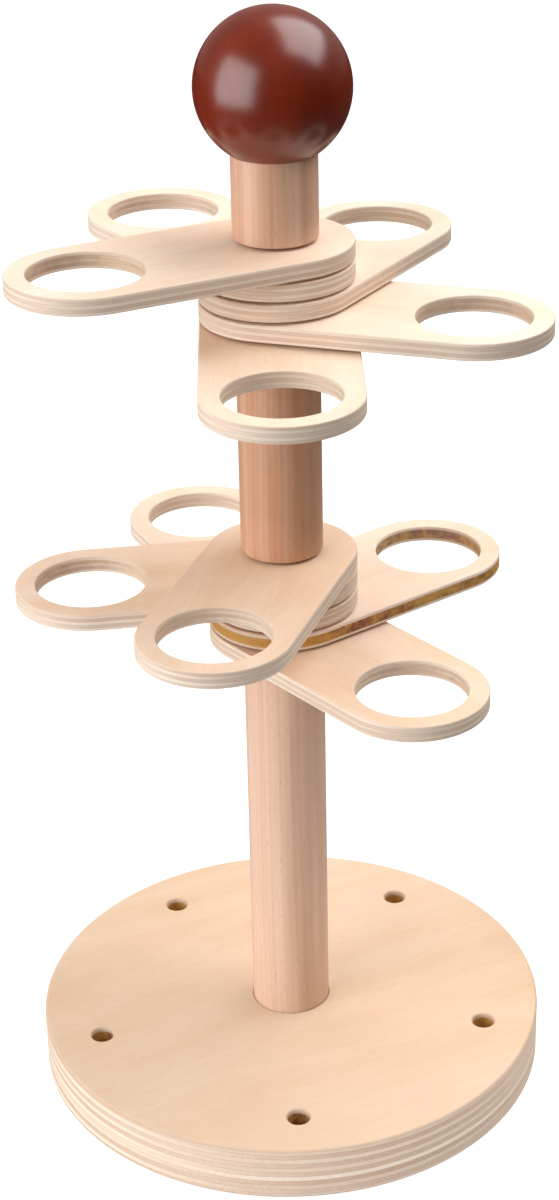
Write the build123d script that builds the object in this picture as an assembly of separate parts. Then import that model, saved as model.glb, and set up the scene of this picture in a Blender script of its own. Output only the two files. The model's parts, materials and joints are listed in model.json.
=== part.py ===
from build123d import *
import math
import os

# A display stand of birch plywood and beech. A dowel in three lengths rises from a round
# base, two stacks of five flat arms turn on steel studs between the lengths, and a
# lacquered ball closes the top. Each arm ends in a ring that holds a cup or an egg, and
# the base has a circle of holes for sticks.
# Millimetres and degrees, +Z up, origin at the middle of the base's underside.

# Base disc
base_diameter = 200.0
base_thickness = 22.0
base_edge_radius = 1.2
post_socket_depth = 8.0
socket_clearance = 0.15

# Stick holes, drilled right through the base
stick_hole_diameter = 8.8
stick_hole_chamfer = 0.5
stick_circle_diameter = 160.0
stick_hole_count = 5
first_stick_hole_angle = -90.0

# Posts, turned dowels of one diameter
post_diameter = 30.6
post_edge_radius = 0.8
lower_post_length = 171.4
middle_post_length = 82.6
upper_post_length = 33.6
upper_post_bore_clearance = 0.3

# Arms, all alike, set around the post like this, from the lowest of each tier up
arm_thickness = 6.3
arm_width = 56.0
arm_reach = 71.5
ring_hole_diameter = 41.0
arm_edge_radius = 0.6
arm_play = 0.05
pivot_clearance = 0.08
lower_arm_angles = [-52.0, 35.5, 115.5, 186.0, -111.0]
upper_arm_angles = [-90.5, -18.5, 56.5, 124.5, 204.0]

# Washers under, between and over the arms
arm_washer_diameter = 24.0
arm_washer_thickness = 1.0
washer_bore_clearance = 0.15

# Ball
ball_diameter = 55.0
ball_recess_depth = 3.3

# Studs and the screw that holds the lower post to the base
stud_diameter = 8.0
stud_end_chamfer = 1.0
thread_engagement = 18.0
bolt_head_diameter = 14.0
bolt_head_height = 4.4
bolt_head_dome_radius = 2.5
bolt_head_setback = 1.0
hex_socket_width = 5.0
hex_socket_depth = 2.6
bolt_hole_clearance = 0.5
foot_washer_diameter = 18.0
foot_washer_thickness = 1.6
counterbore_clearance = 1.0

# Threaded inserts, glued into the posts and the ball
insert_length = 20.0
insert_wall = 2.0
insert_collar_width = 1.4
insert_collar_thickness = 1.2
insert_groove_count = 4
insert_groove_width = 1.6
insert_groove_depth = 0.6
thread_clearance = 0.05
glue_clearance = 0.05
stud_tip_room = 3.0

# Heights up the stand
counterbore_depth = bolt_head_setback + bolt_head_height + foot_washer_thickness
lower_post_foot = base_thickness - post_socket_depth
arm_pitch = arm_thickness + 2 * arm_play + arm_washer_thickness
lower_tier_foot = lower_post_foot + lower_post_length
middle_post_foot = lower_tier_foot + arm_washer_thickness + len(lower_arm_angles) * arm_pitch
upper_tier_foot = middle_post_foot + middle_post_length
upper_post_foot = upper_tier_foot + arm_washer_thickness + len(upper_arm_angles) * arm_pitch
ball_seat = upper_post_foot + upper_post_length


def rod(diameter, length, foot=0.0):
    """An upright round bar on the post's axis, with its lower face at the height foot."""
    return Pos(0, 0, foot) * Cylinder(
        diameter / 2, length, align=(Align.CENTER, Align.CENTER, Align.MIN)
    )


def turned_over(fitting):
    """A fitting drawn with its mouth at the origin and its body above, turned to hang below."""
    return Rot(180, 0, 0) * fitting


def base_disc():
    """Round disc with the post's socket, the stick holes and the counterbore for the bolt."""
    disc = rod(base_diameter, base_thickness)
    disc = fillet(disc.edges().filter_by(GeomType.CIRCLE), base_edge_radius)
    disc -= rod(post_diameter + 2 * socket_clearance, post_socket_depth, lower_post_foot)
    disc -= rod(stud_diameter + 2 * bolt_hole_clearance, base_thickness)
    disc -= rod(foot_washer_diameter + 2 * counterbore_clearance, counterbore_depth)
    for number in range(stick_hole_count):
        angle = first_stick_hole_angle + number * 360 / stick_hole_count
        disc -= Rot(0, 0, angle) * Pos(stick_circle_diameter / 2, 0, 0) * stick_hole_cut()
    return disc


def stick_hole_cut():
    """What the drill takes away for one stick hole, with a small chamfer at each mouth."""
    radius = stick_hole_diameter / 2
    wide = radius + stick_hole_chamfer
    centred = (Align.CENTER, Align.CENTER, Align.MIN)
    lower_mouth = Cone(wide, radius, stick_hole_chamfer, align=centred)
    upper_mouth = Cone(radius, wide, stick_hole_chamfer, align=centred)
    upper_mouth = Pos(0, 0, base_thickness - stick_hole_chamfer) * upper_mouth
    return rod(stick_hole_diameter, base_thickness) + lower_mouth + upper_mouth


def dowel(length, foot):
    """A plain post with both ends eased."""
    bar = rod(post_diameter, length, foot)
    return fillet(bar.edges().filter_by(GeomType.CIRCLE), post_edge_radius)


def lower_post():
    """The long dowel, bored for a threaded insert at each end."""
    post = dowel(lower_post_length, lower_post_foot)
    post -= Pos(0, 0, lower_post_foot) * insert_pocket()
    return post - Pos(0, 0, lower_tier_foot) * turned_over(insert_pocket())


def middle_post():
    """The dowel between the tiers, bored for a threaded insert at each end."""
    post = dowel(middle_post_length, middle_post_foot)
    post -= Pos(0, 0, middle_post_foot) * insert_pocket()
    return post - Pos(0, 0, upper_tier_foot) * turned_over(insert_pocket())


def upper_post():
    """The short dowel under the ball, bored right through for the upper stud."""
    post = dowel(upper_post_length, upper_post_foot)
    bore = rod(stud_diameter + 2 * upper_post_bore_clearance, upper_post_length, upper_post_foot)
    return post - bore


def insert_diameter():
    """Outer diameter of a threaded insert's body."""
    return stud_diameter + 2 * thread_clearance + 2 * insert_wall


def threaded_insert():
    """A sleeve with a collar at its mouth and ring grooves that key it to the glue."""
    sleeve = rod(insert_diameter(), insert_length)
    groove_pitch = (insert_length - insert_collar_thickness) / (insert_groove_count + 1)
    for number in range(1, insert_groove_count + 1):
        groove_foot = insert_collar_thickness + number * groove_pitch - insert_groove_width / 2
        groove = rod(insert_diameter() + insert_wall, insert_groove_width, groove_foot)
        core = rod(insert_diameter() - 2 * insert_groove_depth, insert_groove_width, groove_foot)
        sleeve -= groove - core
    sleeve += rod(insert_diameter() + 2 * insert_collar_width, insert_collar_thickness)
    return sleeve - rod(stud_diameter + 2 * thread_clearance, insert_length)


def insert_pocket():
    """The stepped hole for a threaded insert, with room past it for the stud's tip."""
    hole = rod(insert_diameter() + 2 * glue_clearance, insert_length + stud_tip_room)
    collar_diameter = insert_diameter() + 2 * insert_collar_width
    return hole + rod(collar_diameter + 2 * glue_clearance, insert_collar_thickness)


def stud(foot, top):
    """A plain steel bar with chamfered ends; its threads are drawn at their full diameter."""
    bar = rod(stud_diameter, top - foot, foot)
    return chamfer(bar.edges().filter_by(GeomType.CIRCLE), stud_end_chamfer)


def foot_bolt():
    """Button head screw that pulls the lower post down into its socket."""
    head = rod(bolt_head_diameter, bolt_head_height, bolt_head_setback)
    head = fillet(head.edges().group_by(Axis.Z)[0], bolt_head_dome_radius)
    hexagon = RegularPolygon(hex_socket_width / 2, 6, major_radius=False)
    head -= Pos(0, 0, bolt_head_setback) * extrude(hexagon, hex_socket_depth)
    head_top = bolt_head_setback + bolt_head_height
    return head + stud(head_top - stud_end_chamfer, lower_post_foot + thread_engagement)


def washer(diameter, bore, thickness, foot):
    """A flat ring."""
    return rod(diameter, thickness, foot) - rod(bore, thickness, foot)


def foot_washer():
    """Steel washer between the foot bolt's head and the base."""
    bore = stud_diameter + 2 * bolt_hole_clearance
    foot = bolt_head_setback + bolt_head_height
    return washer(foot_washer_diameter, bore, foot_washer_thickness, foot)


def arm():
    """One arm along +X with its underside at zero and its pivot hole at the origin."""
    outline = Pos(arm_reach / 2, 0) * SlotCenterToCenter(arm_reach, arm_width)
    plate = extrude(outline, arm_thickness)
    plate -= Pos(arm_reach, 0, 0) * rod(ring_hole_diameter, arm_thickness)
    levels = plate.edges().group_by(Axis.Z)
    plate = fillet(levels[0] + levels[-1], arm_edge_radius)
    return plate - rod(stud_diameter + 2 * pivot_clearance, arm_thickness)


def tier(name, angles, foot):
    """The arms of one tier, each between two washers, named and numbered from below."""
    pieces = {}
    bore = stud_diameter + 2 * washer_bore_clearance
    for number in range(len(angles) + 1):
        level = foot + number * arm_pitch
        ring = washer(arm_washer_diameter, bore, arm_washer_thickness, level)
        pieces[f"{name}_washer_{number + 1}"] = ring
    for number, angle in enumerate(angles):
        level = foot + number * arm_pitch + arm_washer_thickness + arm_play
        pieces[f"{name}_arm_{number + 1}"] = Pos(0, 0, level) * Rot(0, 0, angle) * arm()
    return pieces


def ball_knob():
    """Turned ball, recessed below for the upper post and bored for a threaded insert."""
    recess_diameter = post_diameter + 2 * socket_clearance
    rim_drop = math.sqrt((ball_diameter / 2) ** 2 - (recess_diameter / 2) ** 2)
    ball_centre = ball_seat - ball_recess_depth + rim_drop
    ball = Pos(0, 0, ball_centre) * Sphere(ball_diameter / 2)
    ball -= rod(recess_diameter, ball_diameter, ball_seat - ball_diameter)
    return ball - Pos(0, 0, ball_seat) * insert_pocket()


parts = {
    "base_disc": base_disc(),
    "foot_bolt": foot_bolt(),
    "foot_washer": foot_washer(),
    "lower_post": lower_post(),
    "lower_post_foot_insert": Pos(0, 0, lower_post_foot) * threaded_insert(),
    "lower_post_top_insert": Pos(0, 0, lower_tier_foot) * turned_over(threaded_insert()),
    "lower_stud": stud(lower_tier_foot - thread_engagement, middle_post_foot + thread_engagement),
    "middle_post": middle_post(),
    "middle_post_foot_insert": Pos(0, 0, middle_post_foot) * threaded_insert(),
    "middle_post_top_insert": Pos(0, 0, upper_tier_foot) * turned_over(threaded_insert()),
    "upper_stud": stud(upper_tier_foot - thread_engagement, ball_seat + thread_engagement),
    "upper_post": upper_post(),
    "ball_insert": Pos(0, 0, ball_seat) * threaded_insert(),
    "ball_knob": ball_knob(),
}
parts.update(tier("lower", lower_arm_angles, lower_tier_foot))
parts.update(tier("upper", upper_arm_angles, upper_tier_foot))

os.makedirs("parts", exist_ok=True)
for name, shape in parts.items():
    export_step(shape, f"parts/{name}.step")
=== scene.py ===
import json
import math

import bmesh
import bpy
from mathutils import Matrix, Vector
from mathutils.geometry import tessellate_polygon


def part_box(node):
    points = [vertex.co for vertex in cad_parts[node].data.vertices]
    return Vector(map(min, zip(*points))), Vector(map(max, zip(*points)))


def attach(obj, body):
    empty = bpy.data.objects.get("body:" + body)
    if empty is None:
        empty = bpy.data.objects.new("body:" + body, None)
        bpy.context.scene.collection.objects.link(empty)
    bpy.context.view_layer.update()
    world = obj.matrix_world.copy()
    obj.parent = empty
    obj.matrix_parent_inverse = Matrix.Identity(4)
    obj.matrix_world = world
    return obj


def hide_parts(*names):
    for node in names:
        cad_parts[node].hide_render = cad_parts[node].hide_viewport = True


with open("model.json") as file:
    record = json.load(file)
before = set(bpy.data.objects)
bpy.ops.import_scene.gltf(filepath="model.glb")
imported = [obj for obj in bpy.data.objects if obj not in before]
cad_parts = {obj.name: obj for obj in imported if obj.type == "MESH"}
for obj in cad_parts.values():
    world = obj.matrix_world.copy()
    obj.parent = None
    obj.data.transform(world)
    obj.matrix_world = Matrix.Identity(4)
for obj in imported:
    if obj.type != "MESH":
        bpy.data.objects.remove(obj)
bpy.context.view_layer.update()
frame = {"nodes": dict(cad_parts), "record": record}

# ---------------------------------------------------------------- Base disc
# A thick round of birch plywood, cut out on a router, sanded and left bare. Its edges are
# eased by hand. It has a shallow socket for the lower post, five drilled stick holes, and a
# counterbore underneath for the bolt that pulls the post down.

mm = 0.001
mounts = {mount["name"]: mount for mount in frame["record"]["mounts"]}

base_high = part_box("base_disc")[1]
base_radius = base_high.x
base_thickness = base_high.z
base_ease = 1.2 * mm
base_sides = 288
base_grain = math.radians(24)
post_clearance = 0.15 * mm
socket_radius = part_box("lower_post")[1].x + post_clearance
socket_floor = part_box("lower_post")[0].z
socket_ease = 0.3 * mm
socket_sides = 144
# How browned the socket's wall is drawn: partly cutter scorch, partly painted shade in the recess
socket_scorch_and_shade = 0.3
bolt_hole_radius = 4.5 * mm
counterbore_radius = 10 * mm
counterbore_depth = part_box("foot_washer")[1].z
stick_holes = [mounts[name] for name in sorted(mounts) if name.startswith("stick_hole")]
stick_hole_chamfer = 0.5 * mm
stick_hole_sides = 72
# How browned the stick holes' walls are drawn: partly drill scorch, partly painted shade deep in the holes
stick_hole_scorch_and_shade = 0.9

ease_steps = 7
crease_angle = math.radians(28)
board_step = Vector((0.313, 0.171, 0))


def ring_of(x, y, sides, start=0.0, sweep=2 * math.pi):
    """Points of a rim, as its centre and the way out from it. A full turn doesn't repeat its start."""
    whole = math.isclose(sweep, 2 * math.pi)
    gaps = sides if whole else sides - 1
    turns = [start + sweep * k / gaps for k in range(sides)]
    return [(x, y, math.cos(turn), math.sin(turn)) for turn in turns]


def eased_edge(radius, height, ease, side=1):
    """Steps from the flat underside round a sanded edge to the wall, as radius and height.
    side is 1 for an outer wall, and -1 for the wall of a hole."""
    turns = [math.pi / 2 * step / ease_steps for step in range(ease_steps + 1)]
    return [
        (radius - side * ease * (1 - math.sin(turn)), height + ease * (1 - math.cos(turn)))
        for turn in turns
    ]


def eased_wall(radius, height, ease, side=1):
    """Steps up the wall of a plate of that height, with the edge eased below and above."""
    foot = eased_edge(radius, 0, ease, side)
    return foot + [(out, height - step) for out, step in reversed(foot)]


def walls_of(build, rim, steps, scorch_and_shade=0.0):
    """Lays a band of faces up the steps of a wall, all round its rim, and returns its rings.
    The last argument is how far the wall is browned, up to 1: partly scorch from a blunt cutter, partly
    painted shade deep in holes and between arms."""
    scorch_and_shade_layer = build.verts.layers.float.get("scorch_and_shade") or build.verts.layers.float.new("scorch_and_shade")
    rings = []
    for out, height in steps:
        rings.append([])
        for x, y, dx, dy in rim:
            point = build.verts.new((x + dx * out, y + dy * out, height))
            point[scorch_and_shade_layer] = scorch_and_shade
            rings[-1].append(point)
    for below, above in zip(rings, rings[1:]):
        for k in range(len(rim)):
            build.faces.new((below[k - 1], below[k], above[k], above[k - 1])).smooth = True
    return rings


def plate(walls):
    """A flat board with a wall round its outline and in each of its holes."""
    build = bmesh.new()
    undersides, tops = [], []
    for rim, steps, scorch_and_shade in walls:
        rings = walls_of(build, rim, steps, scorch_and_shade)
        undersides.append(rings[0])
        tops.append(rings[-1])
    for loops in (undersides, tops):
        points = [point for loop in loops for point in loop]
        for corners in tessellate_polygon([[point.co for point in loop] for loop in loops]):
            build.faces.new([points[corner] for corner in corners])
    return build


def finished(build, name, body, material, replaced, board=0, shade=0.5, grain=0.0, foot=0.0):
    """Makes the piece from its built mesh, creased only at real corners, and puts it on its body.
    Each piece keeps where it lay in the wood: which board it was cut from, so that no two match, how dark
    that board is drawn (its own tone, and on the posts painted shade too), the way its grain runs, and the
    height of its foot."""
    bmesh.ops.recalc_face_normals(build, faces=build.faces)
    for edge in build.edges:
        edge.smooth = edge.calc_face_angle(0) < crease_angle
    mesh = bpy.data.meshes.new(name)
    build.to_mesh(mesh)
    build.free()
    laid = Matrix.Translation(board_step * board) @ Matrix.Rotation(-grain, 4, "Z")
    laid = laid @ Matrix.Translation((0, 0, -foot))
    in_wood = mesh.attributes.new("in_wood", "FLOAT_VECTOR", "POINT")
    in_wood.data.foreach_set("vector", [c for point in mesh.vertices for c in laid @ point.co])
    for key, value in (("board", board), ("shade", shade), ("grain", grain)):
        kept = mesh.attributes.new(key, "FLOAT", "POINT")
        kept.data.foreach_set("value", [value] * len(mesh.vertices))
    mesh.materials.append(material)
    piece = bpy.data.objects.new(name, mesh)
    bpy.context.scene.collection.objects.link(piece)
    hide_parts(replaced)
    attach(piece, body)
    return piece


def linear(colour):
    """An sRGB hex colour as linear red, green, blue and alpha."""
    parts = [int(colour[k : k + 2], 16) / 255 for k in (1, 3, 5)]
    return [p / 12.92 if p <= 0.04045 else ((p + 0.055) / 1.055) ** 2.4 for p in parts] + [1.0]


def add(tree, kind, inputs=None, **settings):
    """Adds a node with its settings, and fills its inputs with values, nodes or sockets."""
    node = tree.nodes.new("ShaderNode" + kind)
    for key, value in settings.items():
        setattr(node, key, value)
    for key, value in (inputs or {}).items():
        if isinstance(key, str):
            socket = next(s for s in node.inputs if s.enabled and s.name == key)
        else:
            socket = node.inputs[key]
        if isinstance(value, bpy.types.Node):
            value = next(s for s in value.outputs if s.enabled)
        if isinstance(value, bpy.types.NodeSocket):
            tree.links.new(value, socket)
        else:
            socket.default_value = value
    return node


def surface(name, shader_inputs):
    """An empty material with its shader, whose inputs are filled by a function of its tree."""
    material = bpy.data.materials.new(name)
    material.use_nodes = True
    tree = material.node_tree
    tree.nodes.clear()
    shader = add(tree, "BsdfPrincipled", shader_inputs(tree))
    tree.links.new(shader.outputs[0], add(tree, "OutputMaterial").inputs[0])
    return material


def sanded_birch_plywood(name, plies, ply, cream, honey, contrast, edge_darkening):
    """Birch plywood, sanded. Its face is one rotary cut veneer, with faint watery figure and short
    flecks; its edge shows the plies, light along the grain and browner across it, and glue lines.
    contrast is how far the plies differ, and the last argument how much darker the eased edge is drawn."""

    def shader_inputs(tree):
        place = add(tree, "Attribute", attribute_name="in_wood").outputs["Vector"]
        board = add(tree, "Attribute", attribute_name="board").outputs["Fac"]
        shade = add(tree, "Attribute", attribute_name="shade").outputs["Fac"]
        grain = add(tree, "Attribute", attribute_name="grain").outputs["Fac"]
        scorch_and_shade = add(tree, "Attribute", attribute_name="scorch_and_shade").outputs["Fac"]
        turn_back = add(tree, "Math", {0: grain, 1: -1}, operation="MULTIPLY")
        outward = add(tree, "TexCoord").outputs["Normal"]
        turned_out = add(
            tree, "VectorRotate", {"Vector": outward, "Angle": turn_back}, rotation_type="Z_AXIS"
        )
        normal = add(tree, "SeparateXYZ", {"Vector": turned_out})

        # Growth figure: soft patches 90 mm long and 16 mm wide, with watery lines round them
        figure_place = add(tree, "VectorMath", {0: place, 1: (11, 62, 11)}, operation="MULTIPLY")
        figure = add(tree, "TexNoise", {"Vector": figure_place, "Scale": 1, "Detail": 2, "Roughness": 0.45})
        rings = add(tree, "Math", {0: figure, 1: 52}, operation="MULTIPLY")
        watery = add(tree, "Math", {0: rings}, operation="SINE")

        # Fibres: 15 mm long and 0.9 mm wide, along the sheet in one ply and across it in the next
        fibre_place = add(tree, "VectorMath", {0: place, 1: (66, 1100, 1100)}, operation="MULTIPLY")
        fibre = add(tree, "TexNoise", {"Vector": fibre_place, "Scale": 1, "Detail": 2, "Roughness": 0.6})
        cross_place = add(tree, "VectorMath", {0: place, 1: (1100, 66, 1100)}, operation="MULTIPLY")
        cross_fibre = add(
            tree, "TexNoise", {"Vector": cross_place, "Scale": 1, "Detail": 2, "Roughness": 0.6}
        )

        # Flecks: dashes 4 mm long and 0.6 mm wide
        fleck_place = add(tree, "VectorMath", {0: place, 1: (250, 1700, 250)}, operation="MULTIPLY")
        fleck_noise = add(tree, "TexNoise", {"Vector": fleck_place, "Scale": 1, "Detail": 1})
        fleck = add(tree, "MapRange", {"Value": fleck_noise, "From Min": 0.6, "From Max": 0.78})

        # Slow change of tone over the sheet, 60 mm across
        drift = add(tree, "TexNoise", {"Vector": place, "Scale": 16, "Detail": 2})

        # Face veneer
        tone_shade = add(tree, "Math", {0: shade, 1: 0.9, 2: -0.78}, operation="MULTIPLY_ADD")
        tone_figure = add(tree, "Math", {0: figure, 1: 0.7, 2: tone_shade}, operation="MULTIPLY_ADD")
        tone_fibre = add(tree, "Math", {0: fibre, 1: 0.22, 2: tone_figure}, operation="MULTIPLY_ADD")
        tone_watery = add(tree, "Math", {0: watery, 1: 0.04, 2: tone_fibre}, operation="MULTIPLY_ADD")
        tone = add(tree, "Math", {0: drift, 1: 0.7, 2: tone_watery}, operation="MULTIPLY_ADD", use_clamp=True)
        veneer = add(tree, "Mix", {"Factor": tone, "A": linear(cream), "B": linear(honey)}, data_type="RGBA")
        fleck_depth = add(tree, "Math", {0: fleck, 1: 0.13}, operation="MULTIPLY")
        face = add(
            tree, "Mix", {"Factor": fleck_depth, "A": veneer, "B": linear("#b07f58")}, data_type="RGBA"
        )

        # Edge: which ply this is, and whether its grain runs along the edge or ends in it
        height = add(tree, "SeparateXYZ", {"Vector": place}).outputs["Z"]
        wander = add(tree, "TexNoise", {"Vector": place, "Scale": 45, "Detail": 1})
        wander_off = add(tree, "Math", {0: wander, 1: 0.3 * mm, 2: -0.15 * mm}, operation="MULTIPLY_ADD")
        wandering = add(tree, "Math", {0: height, 1: wander_off}, operation="ADD")
        level = add(tree, "Math", {0: wandering, 1: ply}, operation="DIVIDE")
        number = add(tree, "Math", {0: level}, operation="FLOOR")
        within = add(tree, "Math", {0: level}, operation="FRACT")
        odd = add(tree, "Math", {0: number, 1: 2}, operation="FLOORED_MODULO")
        across_x = add(tree, "Math", {0: normal.outputs["X"], 1: normal.outputs["X"]}, operation="MULTIPLY")
        across_y = add(tree, "Math", {0: normal.outputs["Y"], 1: normal.outputs["Y"]}, operation="MULTIPLY")
        end_grain = add(tree, "Mix", {"Factor": odd, "A": across_x, "B": across_y})
        streak = add(tree, "Mix", {"Factor": odd, "A": fibre, "B": cross_fibre})
        pore_noise = add(tree, "TexNoise", {"Vector": place, "Scale": 1400, "Detail": 2})
        pores = add(tree, "Math", {0: pore_noise, 1: end_grain}, operation="MULTIPLY")
        ply_seed = add(tree, "Math", {0: board, 1: 7.3, 2: number}, operation="MULTIPLY_ADD")
        ply_tone = add(tree, "TexWhiteNoise", {"W": ply_seed}, noise_dimensions="1D")
        edge_end = add(tree, "Math", {0: end_grain, 1: 0.55, 2: -0.55}, operation="MULTIPLY_ADD")
        edge_streak = add(tree, "Math", {0: streak, 1: 0.6, 2: edge_end}, operation="MULTIPLY_ADD")
        edge_pores = add(tree, "Math", {0: pores, 1: 0.35, 2: edge_streak}, operation="MULTIPLY_ADD")
        edge_tone = add(tree, "Math", {0: ply_tone, 1: 0.5, 2: edge_pores}, operation="MULTIPLY_ADD")
        edge_mixed = add(
            tree,
            "Math",
            {0: edge_tone, 1: contrast, 2: 0.25},
            operation="MULTIPLY_ADD",
            use_clamp=True,
        )
        plain_ply = add(
            tree,
            "Mix",
            {"Factor": edge_mixed, "A": linear("#fdf1e3"), "B": linear("#c8a385")},
            data_type="RGBA",
        )

        # The inner plies are drawn ochre to dark brown in specks: partly scorch from a blunt cutter, partly
        # painted shade deep in holes and between arms
        from_top = add(tree, "Math", {0: plies, 1: level}, operation="SUBTRACT")
        depth = add(tree, "Math", {0: level, 1: from_top}, operation="MINIMUM")
        core = add(tree, "MapRange", {"Value": depth, "From Min": 0.9, "From Max": 1.15})
        speck = add(tree, "TexNoise", {"Vector": place, "Scale": 260, "Detail": 3, "Roughness": 0.7})
        dark_speck_place = add(tree, "Math", {0: drift, 1: -1.1, 2: speck}, operation="MULTIPLY_ADD")
        dark_speck_amount = add(tree, "MapRange", {"Value": dark_speck_place, "From Min": -0.08, "From Max": 0.14})
        scorch_and_shade_colour = add(
            tree,
            "Mix",
            {"Factor": dark_speck_amount, "A": linear("#c8933f"), "B": linear("#854a26")},
            data_type="RGBA",
        )
        scorched_and_shaded = add(tree, "Math", {0: scorch_and_shade, 1: core}, operation="MULTIPLY")
        ply_colour = add(
            tree, "Mix", {"Factor": scorched_and_shaded, "A": plain_ply, "B": scorch_and_shade_colour}, data_type="RGBA"
        )

        # Glue lines between plies, 0.1 mm thick, drawn a little wider so that they show
        near_joint = add(tree, "Math", {0: within, 1: 0.5}, operation="PINGPONG")
        line = add(tree, "MapRange", {"Value": near_joint, "From Min": 0.1, "From Max": 0.03})
        inside = add(tree, "Math", {0: depth, 1: 0.5}, operation="GREATER_THAN")
        line_inside = add(tree, "Math", {0: line, 1: inside}, operation="MULTIPLY")
        line_faint = add(tree, "Math", {0: line_inside, 1: 0.55}, operation="MULTIPLY")
        line_broken = add(tree, "Math", {0: line_faint, 1: wander}, operation="MULTIPLY")
        edge = add(
            tree,
            "Mix",
            {"Factor": line_broken, "A": ply_colour, "B": linear("#9a7048")},
            data_type="RGBA",
        )

        upright = add(tree, "Math", {0: normal.outputs["Z"]}, operation="ABSOLUTE")
        on_face = add(tree, "MapRange", {"Value": upright, "From Min": 0.55, "From Max": 0.95})
        bare = add(tree, "Mix", {"Factor": on_face, "A": edge, "B": face}, data_type="RGBA")
        # The eased edge, between face and wall, is drawn darker.
        off_face = add(tree, "Math", {0: 1, 1: upright}, operation="SUBTRACT")
        eased = add(tree, "Math", {0: upright, 1: off_face}, operation="MULTIPLY")
        edge_darkened = add(tree, "Math", {0: eased, 1: 4 * edge_darkening}, operation="MULTIPLY", use_clamp=True)
        colour = add(tree, "Mix", {"Factor": edge_darkened, "A": bare, "B": linear("#b28254")}, data_type="RGBA")

        # Sanding leaves the fibres standing a few hundredths of a millimetre proud
        relief_edge = add(tree, "Math", {0: streak, 1: line_inside}, operation="SUBTRACT")
        relief = add(tree, "Mix", {"Factor": on_face, "A": relief_edge, "B": fibre})
        bump = add(tree, "Bump", {"Strength": 0.35, "Distance": 0.06 * mm, "Height": relief})
        roughness = add(tree, "MapRange", {"Value": streak, "To Min": 0.5, "To Max": 0.68})
        return {"Base Color": colour, "Roughness": roughness, "Specular IOR Level": 0.35, "Normal": bump}

    return surface(name, shader_inputs)


base_plies = 11
base_birch = sanded_birch_plywood(
    "sanded_birch_plywood_base",
    base_plies,
    base_thickness / base_plies,
    "#e8d1bb",
    "#d6b390",
    0.6,
    0.4,
)

socket_mouth = [
    (out, base_thickness - step)
    for out, step in reversed(eased_edge(socket_radius, 0, socket_ease, -1))
]
base_walls = [
    (ring_of(0, 0, base_sides), eased_wall(base_radius, base_thickness, base_ease), 0),
    (
        ring_of(0, 0, socket_sides),
        [
            (counterbore_radius, 0),
            (counterbore_radius, counterbore_depth),
            (bolt_hole_radius, counterbore_depth),
            (bolt_hole_radius, socket_floor),
            (socket_radius, socket_floor),
        ]
        + socket_mouth,
        socket_scorch_and_shade,
    ),
]
for hole in stick_holes:
    radius = hole["dims"]["r_mm"] * mm
    steps = [
        (radius + stick_hole_chamfer, 0),
        (radius, stick_hole_chamfer),
        (radius, base_thickness - stick_hole_chamfer),
        (radius + stick_hole_chamfer, base_thickness),
    ]
    rim = ring_of(hole["pos_m"][0], hole["pos_m"][1], stick_hole_sides)
    base_walls.append((rim, steps, stick_hole_scorch_and_shade))
finished(
    plate(base_walls),
    "base_board",
    "stand",
    base_birch,
    "base_disc",
    grain=base_grain,
)

# ---------------------------------------------------------------- Bolt and studs
# Zinc plated steel: a button head bolt and a washer from below, and a stud through each tier.
# They are bought in, screwed in dry, and only the bolt's head shows, under the base.


def zinc_plated(tree):
    place = add(tree, "TexCoord")
    cloud = add(tree, "TexNoise", {"Vector": place.outputs["Object"], "Scale": 220, "Detail": 3})
    stretched = add(
        tree, "VectorMath", {0: place.outputs["Object"], 1: (300, 300, 6000)}, operation="MULTIPLY"
    )
    turning = add(tree, "TexNoise", {"Vector": stretched, "Scale": 1, "Detail": 1})
    colour = add(
        tree, "Mix", {"Factor": cloud, "A": linear("#c9ccd1"), "B": linear("#a9acb4")}, data_type="RGBA"
    )
    roughness = add(tree, "MapRange", {"Value": cloud, "To Min": 0.26, "To Max": 0.42})
    bump = add(tree, "Bump", {"Strength": 0.2, "Distance": 0.02 * mm, "Height": turning})
    return {"Base Color": colour, "Metallic": 1.0, "Roughness": roughness, "Normal": bump}


# Zinc plate: a cool bright grey with a faint cloud in it, over fine marks from turning
zinc = surface("zinc_plated_steel", zinc_plated)
for name in ("foot_bolt", "foot_washer", "lower_stud", "upper_stud"):
    frame["nodes"][name].material_slots[0].material = zinc

# ---------------------------------------------------------------- Threaded inserts
# Brass sleeves with a collar and grooves, glued into the ends of the posts and into the ball.


def turned_brass(tree):
    place = add(tree, "TexCoord")
    stretched = add(
        tree, "VectorMath", {0: place.outputs["Object"], 1: (200, 200, 5000)}, operation="MULTIPLY"
    )
    turning = add(tree, "TexNoise", {"Vector": stretched, "Scale": 1, "Detail": 2})
    colour = add(
        tree, "Mix", {"Factor": turning, "A": linear("#d9b56a"), "B": linear("#b98f45")}, data_type="RGBA"
    )
    bump = add(tree, "Bump", {"Strength": 0.25, "Distance": 0.02 * mm, "Height": turning})
    return {"Base Color": colour, "Metallic": 1.0, "Roughness": 0.3, "Normal": bump}


# Brass from the lathe: yellow, with fine rings
brass = surface("turned_brass", turned_brass)
for name in (
    "lower_post_foot_insert",
    "lower_post_top_insert",
    "middle_post_foot_insert",
    "middle_post_top_insert",
    "ball_insert",
):
    frame["nodes"][name].material_slots[0].material = brass

# ---------------------------------------------------------------- Posts
# Three lengths of one beech dowel, sanded and lightly oiled, with both ends eased. The two
# longer ones are bored at each end for an insert, the short one right through for the stud.

post_sides = 144
post_ease = 0.8 * mm
insert_pocket_radius = 6.1 * mm
insert_pocket_depth = 23 * mm
collar_pocket_radius = 7.5 * mm
collar_pocket_depth = 1.2 * mm
stud_bore_radius = 4.3 * mm


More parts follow.
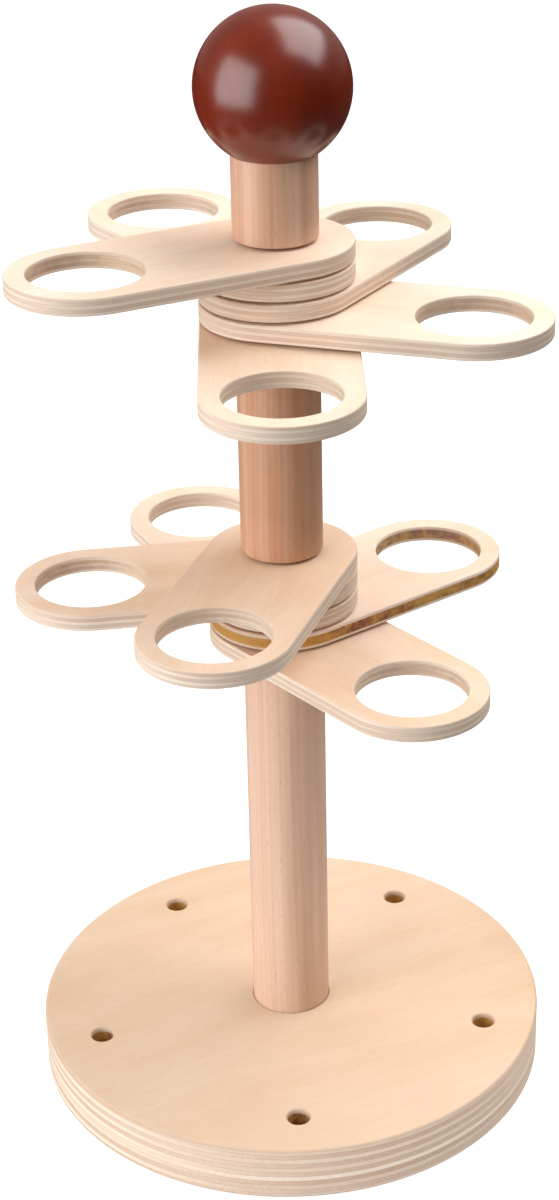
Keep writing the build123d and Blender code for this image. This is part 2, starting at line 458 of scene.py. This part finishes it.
def turned(steps, sides):
    """A piece turned about the post's axis. Steps that start on the axis end on it too, and
    others close on themselves, as round a bore."""
    build = bmesh.new()
    on_axis = steps[0][0] == 0
    rings = walls_of(build, ring_of(0, 0, sides), steps[1:-1] if on_axis else steps)
    if on_axis:
        for height, ring in ((steps[0][1], rings[0]), (steps[-1][1], rings[-1])):
            middle = build.verts.new((0, 0, height))
            for k in range(sides):
                build.faces.new((ring[k - 1], ring[k], middle)).smooth = True
    else:
        for k in range(sides):
            build.faces.new((rings[-1][k - 1], rings[-1][k], rings[0][k], rings[0][k - 1]))
    return build


def insert_pocket(mouth, way):
    """Steps of the stepped hole for an insert, from the axis to its mouth. way is 1 upwards."""
    return [
        (0, mouth + way * insert_pocket_depth),
        (insert_pocket_radius, mouth + way * insert_pocket_depth),
        (insert_pocket_radius, mouth + way * collar_pocket_depth),
        (collar_pocket_radius, mouth + way * collar_pocket_depth),
        (collar_pocket_radius, mouth),
    ]


def dowel_side(node):
    """Steps up the outside of a dowel, from its foot to its head."""
    low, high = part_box(node)
    foot = eased_edge(high.x, low.z, post_ease)
    return foot + [(out, high.z - (step - low.z)) for out, step in reversed(foot)]


def oiled_beech(tree):
    place = add(tree, "Attribute", attribute_name="in_wood").outputs["Vector"]
    shade = add(tree, "Attribute", attribute_name="shade").outputs["Fac"]
    # Growth rings 2.2 mm apart round a pith well outside the dowel, which drift up its length
    drift_place = add(tree, "VectorMath", {0: place, 1: (30, 30, 7)}, operation="MULTIPLY")
    drift = add(tree, "TexNoise", {"Vector": drift_place, "Scale": 1, "Detail": 2})
    whole = add(tree, "TexCoord").outputs["Object"]
    from_pith = add(tree, "VectorMath", {0: whole, 1: (0.052, -0.034, 0)}, operation="SUBTRACT")
    level = add(tree, "VectorMath", {0: from_pith, 1: (1, 1, 0.02)}, operation="MULTIPLY")
    reach = add(tree, "VectorMath", {0: level}, operation="LENGTH").outputs["Value"]
    rings_even = add(tree, "Math", {0: reach, 1: 2 * math.pi / (2.2 * mm)}, operation="MULTIPLY")
    rings_bent = add(tree, "Math", {0: drift, 1: 14, 2: rings_even}, operation="MULTIPLY_ADD")
    rings = add(tree, "Math", {0: rings_bent}, operation="SINE")
    # Fibres 30 mm long and 0.6 mm wide
    fibre_place = add(tree, "VectorMath", {0: place, 1: (1500, 1500, 34)}, operation="MULTIPLY")
    fibre = add(tree, "TexNoise", {"Vector": fibre_place, "Scale": 1, "Detail": 2, "Roughness": 0.6})
    # Broad bands of tone along the dowel, 6 mm wide
    band_place = add(tree, "VectorMath", {0: place, 1: (170, 170, 5)}, operation="MULTIPLY")
    band = add(tree, "TexNoise", {"Vector": band_place, "Scale": 1, "Detail": 1})
    # Ray flecks: dark dashes 3 mm long and 0.5 mm wide
    fleck_place = add(tree, "VectorMath", {0: place, 1: (1900, 1900, 330)}, operation="MULTIPLY")
    fleck_noise = add(tree, "TexNoise", {"Vector": fleck_place, "Scale": 1, "Detail": 1})
    fleck = add(tree, "MapRange", {"Value": fleck_noise, "From Min": 0.6, "From Max": 0.76})
    tone_shade = add(tree, "Math", {0: shade, 1: 1.0, 2: -0.4}, operation="MULTIPLY_ADD")
    tone_rings = add(tree, "Math", {0: rings, 1: 0.035, 2: tone_shade}, operation="MULTIPLY_ADD")
    tone_fibre = add(tree, "Math", {0: fibre, 1: 0.12, 2: tone_rings}, operation="MULTIPLY_ADD")
    tone = add(tree, "Math", {0: band, 1: 0.7, 2: tone_fibre}, operation="MULTIPLY_ADD", use_clamp=True)
    wood = add(
        tree, "Mix", {"Factor": tone, "A": linear("#f1d4c0"), "B": linear("#ba8058")}, data_type="RGBA"
    )
    fleck_depth = add(tree, "Math", {0: fleck, 1: 0.18}, operation="MULTIPLY")
    colour = add(tree, "Mix", {"Factor": fleck_depth, "A": wood, "B": linear("#85502d")}, data_type="RGBA")
    roughness = add(tree, "MapRange", {"Value": fibre, "To Min": 0.36, "To Max": 0.5})
    bump = add(tree, "Bump", {"Strength": 0.25, "Distance": 0.04 * mm, "Height": fibre})
    return {"Base Color": colour, "Roughness": roughness, "Specular IOR Level": 0.45, "Normal": bump}


# Oiled beech: a pinkish tan with fine upright fibres, slow bands and short dark ray flecks
beech = surface("oiled_beech_dowel", oiled_beech)
# How dark the wood of each length is drawn: its own tone, and painted shade on the middle and upper posts,
# which stand under the upper tier and the ball
post_shades = {"lower_post": 0.36, "middle_post": 0.76, "upper_post": 0.6}
for board, (name, shade) in enumerate(post_shades.items()):
    low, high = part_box(name)
    if name == "upper_post":
        steps = [(stud_bore_radius, low.z)] + dowel_side(name) + [(stud_bore_radius, high.z)]
    else:
        steps = insert_pocket(low.z, 1) + dowel_side(name) + insert_pocket(high.z, -1)[::-1]
    build = turned(steps, post_sides)
    finished(build, name + "_dowel", "stand", beech, name, board, shade)

# ---------------------------------------------------------------- Arm washers
# Thin moulded nylon washers, one under, between and over the arms, which hold them a hair apart. They sit
# back in the gap under each post and between the arms, where the dark line is mostly shade; their dark brown,
# chosen to match that line, is partly painted shade.


def moulded_nylon(tree):
    place = add(tree, "TexCoord")
    grain = add(tree, "TexNoise", {"Vector": place.outputs["Object"], "Scale": 900, "Detail": 2})
    colour = add(
        tree, "Mix", {"Factor": grain, "A": linear("#3a2d26"), "B": linear("#241b17")}, data_type="RGBA"
    )
    bump = add(tree, "Bump", {"Strength": 0.2, "Distance": 0.02 * mm, "Height": grain})
    return {"Base Color": colour, "Roughness": 0.55, "Normal": bump}


# Dark brown nylon, with the fine matt grain of its mould; the dark brown is partly painted shade for the gap
# it sits in
nylon = surface("moulded_nylon", moulded_nylon)
for name, node in frame["nodes"].items():
    if "_washer_" in name:
        node.material_slots[0].material = nylon

# ---------------------------------------------------------------- Arms
# Ten equal arms of thin birch plywood, five in each tier, cut with the grain along them. Both
# ends are round; the outer one has the ring hole. Edges are eased, and each arm turns on its stud.

arm_plies = 5
arm_ease = 0.6 * mm
arm_end_sides = 97
ring_hole_sides = 144
pivot_radius = 4.08 * mm
pivot_sides = 48
# How browned the pivot holes' walls are drawn: partly cutter scorch, partly painted shade
pivot_scorch_and_shade = 0.5
arm_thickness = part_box("lower_arm_1")[1].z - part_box("lower_arm_1")[0].z
arm_half_width = 28 * mm

arm_birch = sanded_birch_plywood(
    "sanded_birch_plywood_arms",
    arm_plies,
    arm_thickness / arm_plies,
    "#f7e5d5",
    "#e3be9a",
    0.42,
    0.12,
)


def arm_board(reach, ring_radius, place, outer_scorch_and_shade, ring_scorch_and_shade):
    """One arm, drawn along +X with its pivot at the origin, then turned and lifted to its place."""
    outline = ring_of(reach, 0, arm_end_sides, -math.pi / 2, math.pi)
    outline += ring_of(0, 0, arm_end_sides, math.pi / 2, math.pi)
    ring_wall = eased_wall(ring_radius, arm_thickness, arm_ease, -1)
    pivot_wall = [(pivot_radius, 0), (pivot_radius, arm_thickness)]
    build = plate(
        [
            (outline, eased_wall(arm_half_width, arm_thickness, arm_ease), outer_scorch_and_shade),
            (ring_of(reach, 0, ring_hole_sides), ring_wall, ring_scorch_and_shade),
            (ring_of(0, 0, pivot_sides), pivot_wall, pivot_scorch_and_shade),
        ]
    )
    bmesh.ops.transform(build, matrix=place, verts=build.verts)
    return build


# How dark each arm's veneer is, and how browned its outer edge and the wall of its ring are drawn: partly
# cutter scorch, partly painted shade between the arms and inside the ring
arm_looks = {
    "lower_arm_1": (0.6, 0.1, 0.25),
    "lower_arm_2": (0.45, 0.95, 0.8),
    "lower_arm_3": (0.45, 0.0, 0.15),
    "lower_arm_4": (0.6, 0.05, 0.3),
    "lower_arm_5": (0.62, 0.0, 0.2),
    "upper_arm_1": (0.5, 0.0, 0.15),
    "upper_arm_2": (0.35, 0.05, 0.3),
    "upper_arm_3": (0.3, 0.1, 0.2),
    "upper_arm_4": (0.35, 0.0, 0.2),
    "upper_arm_5": (0.4, 0.0, 0.3),
}
for board, (node, (shade, outer_scorch_and_shade, ring_scorch_and_shade)) in enumerate(arm_looks.items(), 1):
    ring = mounts[node.replace("arm", "ring")]
    along = Vector(ring["pos_m"][:2])
    heading = math.atan2(along.y, along.x)
    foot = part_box(node)[0].z
    place = Matrix.Translation((0, 0, foot)) @ Matrix.Rotation(heading, 4, "Z")
    build = arm_board(along.length, ring["dims"]["r_mm"] * mm, place, outer_scorch_and_shade, ring_scorch_and_shade)
    finished(
        build, node + "_board", node, arm_birch, node, board, shade, heading, foot
    )

# ---------------------------------------------------------------- Ball
# A turned beech ball, stained red brown and given a satin lacquer. A recess under it fits over
# the upper post, and an insert glued into it takes the end of the upper stud.

ball_sides = 160
ball_rings = 96
rim_ease = 0.2 * mm
ball_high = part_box("ball_knob")[1]
ball_radius = ball_high.x
ball_centre = ball_high.z - ball_radius
ball_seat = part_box("upper_post")[1].z
recess_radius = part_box("upper_post")[1].x + post_clearance

rim_turn = math.asin((recess_radius + rim_ease) / ball_radius)
rim_height = ball_centre - ball_radius * math.cos(rim_turn)
steps = insert_pocket(ball_seat, 1) + [
    (recess_radius, ball_seat),
    (recess_radius, rim_height + rim_ease),
]
for k in range(ball_rings + 1):
    turn = rim_turn + (math.pi - rim_turn) * k / ball_rings
    steps.append((ball_radius * math.sin(turn), ball_centre - ball_radius * math.cos(turn)))
steps[-1] = (0, ball_high.z)


def satin_lacquer(tree):
    place = add(tree, "TexCoord")
    # Faint growth bands of the turned wood under the stain, about 17 mm wide
    stretched = add(
        tree, "VectorMath", {0: place.outputs["Object"], 1: (60, 60, 14)}, operation="MULTIPLY"
    )
    figure = add(tree, "TexNoise", {"Vector": stretched, "Scale": 1, "Detail": 3})
    fibre_place = add(
        tree, "VectorMath", {0: place.outputs["Object"], 1: (900, 900, 60)}, operation="MULTIPLY"
    )
    fibre = add(tree, "TexNoise", {"Vector": fibre_place, "Scale": 1, "Detail": 2})
    blend = add(tree, "Math", {0: fibre, 1: 0.35, 2: figure}, operation="MULTIPLY_ADD")
    tone = add(tree, "MapRange", {"Value": blend, "From Min": 0.35, "From Max": 1.0})
    colour = add(
        tree, "Mix", {"Factor": tone, "A": linear("#882c0d"), "B": linear("#621805")}, data_type="RGBA"
    )
    # Sprayed lacquer dries with a slight orange peel, about 1.5 mm across
    peel = add(tree, "TexNoise", {"Vector": place.outputs["Object"], "Scale": 650, "Detail": 1})
    bump = add(tree, "Bump", {"Strength": 0.12, "Distance": 0.03 * mm, "Height": peel})
    return {
        "Base Color": colour,
        "Roughness": 0.5,
        "Specular IOR Level": 0.0,
        "Coat Weight": 1.0,
        "Coat Roughness": 0.28,
        "Coat IOR": 1.7,
        "Normal": bump,
    }


# Satin lacquer over a red brown stain: deep colour under broad soft highlights
lacquer = surface("satin_lacquered_stained_beech", satin_lacquer)
finished(turned(steps, ball_sides), "ball_turned", "stand", lacquer, "ball_knob")

# ---------------------------------------------------------------- Floor, light and camera
# A plain white studio floor, one large soft light on the left, one over the right and back,
# and a dim room round them.

floor_half = 9.0
floor_glow = 0.85
floor_build = bmesh.new()
floor_corners = ((-1, -1), (1, -1), (1, 1), (-1, 1))
corners = [floor_build.verts.new((x * floor_half, y * floor_half, 0)) for x, y in floor_corners]
floor_build.faces.new(corners)
floor_mesh = bpy.data.meshes.new("studio_floor")
floor_build.to_mesh(floor_mesh)
floor_build.free()


def matt_paper(tree):
    # White under the stand, dark beyond the table's edge, and dimmed in what the lacquer mirrors
    place = add(tree, "TexCoord").outputs["Object"]
    reach = add(tree, "VectorMath", {0: place}, operation="LENGTH").outputs["Value"]
    beyond = add(tree, "MapRange", {"Value": reach, "From Min": 0.3, "From Max": 0.5})
    mirrored = add(tree, "LightPath").outputs["Is Glossy Ray"]
    darkness = add(
        tree, "Math", {0: mirrored, 1: 0.8, 2: beyond}, operation="MULTIPLY_ADD", use_clamp=True
    )
    colour = add(
        tree, "Mix", {"Factor": darkness, "A": linear("#ebebeb"), "B": linear("#303030")}, data_type="RGBA"
    )
    return {"Base Color": colour, "Roughness": 0.9, "Specular IOR Level": 0.1}


# Matt white paper on a table in a dim room, lifted so that it shows white all over
paper = surface("matt_white_paper", matt_paper)
tree = paper.node_tree
paper_shader = tree.nodes["Principled BSDF"]
white_paper = add(tree, "BsdfDiffuse", {"Color": linear("#a6a6a6")})
glow = add(tree, "Emission", {"Color": linear("#ffffff"), "Strength": floor_glow})
lifted = add(tree, "AddShader", {0: white_paper, 1: glow})
seen = add(tree, "LightPath").outputs["Is Camera Ray"]
shown = add(tree, "MixShader", {0: seen, 1: paper_shader, 2: lifted})
tree.links.new(shown.outputs[0], tree.nodes["Material Output"].inputs[0])
floor_mesh.materials.append(paper)
floor = bpy.data.objects.new("studio_floor", floor_mesh)
bpy.context.scene.collection.objects.link(floor)

# The room is brightest above and behind, and flags keep most of it out of the lacquer
world = bpy.data.worlds.new("dim_white_room")
bpy.context.scene.world = world
world.use_nodes = True
tree = world.node_tree
tree.nodes.clear()
way = add(tree, "SeparateXYZ", {"Vector": add(tree, "TexCoord").outputs["Generated"]})
ceiling = add(tree, "MapRange", {"Value": way.outputs["Z"], "To Min": 0.05, "To Max": 0.31})
back_wall = add(tree, "MapRange", {"Value": way.outputs["Y"], "From Min": -0.1, "To Max": 1.0})
room_light = add(tree, "Math", {0: ceiling, 1: back_wall}, operation="ADD")
ray = add(tree, "LightPath")
flagged = add(
    tree, "Math", {0: ray.outputs["Is Glossy Ray"], 1: -0.7, 2: 1.0}, operation="MULTIPLY_ADD"
)
strength = add(tree, "Math", {0: room_light, 1: flagged}, operation="MULTIPLY")
dim = add(tree, "Background", {"Color": linear("#fffaf4"), "Strength": strength})
white = add(tree, "Background", {"Color": linear("#ffffff"), "Strength": 1.0})
room = add(tree, "MixShader", {0: ray.outputs["Is Camera Ray"], 1: dim, 2: white})
tree.links.new(room.outputs[0], add(tree, "OutputWorld").inputs[0])

# Where each softbox stands, its width and height in metres, and its power in watts
softboxes = {
    "left_softbox": ((-1.12, -0.68, 0.54), 1.5, 1.7, 28.5),
    "right_back_softbox": ((0.72, 0.24, 1.46), 1.55, 1.2, 22),
}
lit_point = Vector((0, 0, 0.3))
for name, (place, width, height, power) in softboxes.items():
    light = bpy.data.lights.new(name, "AREA")
    light.shape = "RECTANGLE"
    light.size = width
    light.size_y = height
    light.energy = power
    lamp = bpy.data.objects.new(name, light)
    lamp.location = place
    lamp.rotation_euler = (lit_point - Vector(place)).to_track_quat("-Z", "Y").to_euler()
    bpy.context.scene.collection.objects.link(lamp)

camera_place = Vector((-18.54, -805.76, 611.71)) * mm
camera_heading = math.radians(2.045)
camera_pitch = math.radians(-26.0)
camera_roll = math.radians(-0.868)

lens = bpy.data.cameras.new("camera")
lens.lens = 72.17
lens.sensor_width = 36
lens.sensor_fit = "AUTO"
lens.shift_x = -0.0252
lens.shift_y = -0.0357
lens.clip_end = 50
forward = Vector(
    (
        math.sin(camera_heading) * math.cos(camera_pitch),
        math.cos(camera_heading) * math.cos(camera_pitch),
        math.sin(camera_pitch),
    )
)
level_right = Vector((math.cos(camera_heading), -math.sin(camera_heading), 0))
level_up = level_right.cross(forward)
right = level_right * math.cos(camera_roll) + level_up * math.sin(camera_roll)
up = level_up * math.cos(camera_roll) - level_right * math.sin(camera_roll)
camera = bpy.data.objects.new("camera", lens)
camera_turn = Matrix((right, up, -forward)).transposed().to_4x4()
camera.matrix_world = Matrix.Translation(camera_place) @ camera_turn
bpy.context.scene.collection.objects.link(camera)
bpy.context.scene.camera = camera
bpy.context.scene.view_settings.view_transform = "Standard"
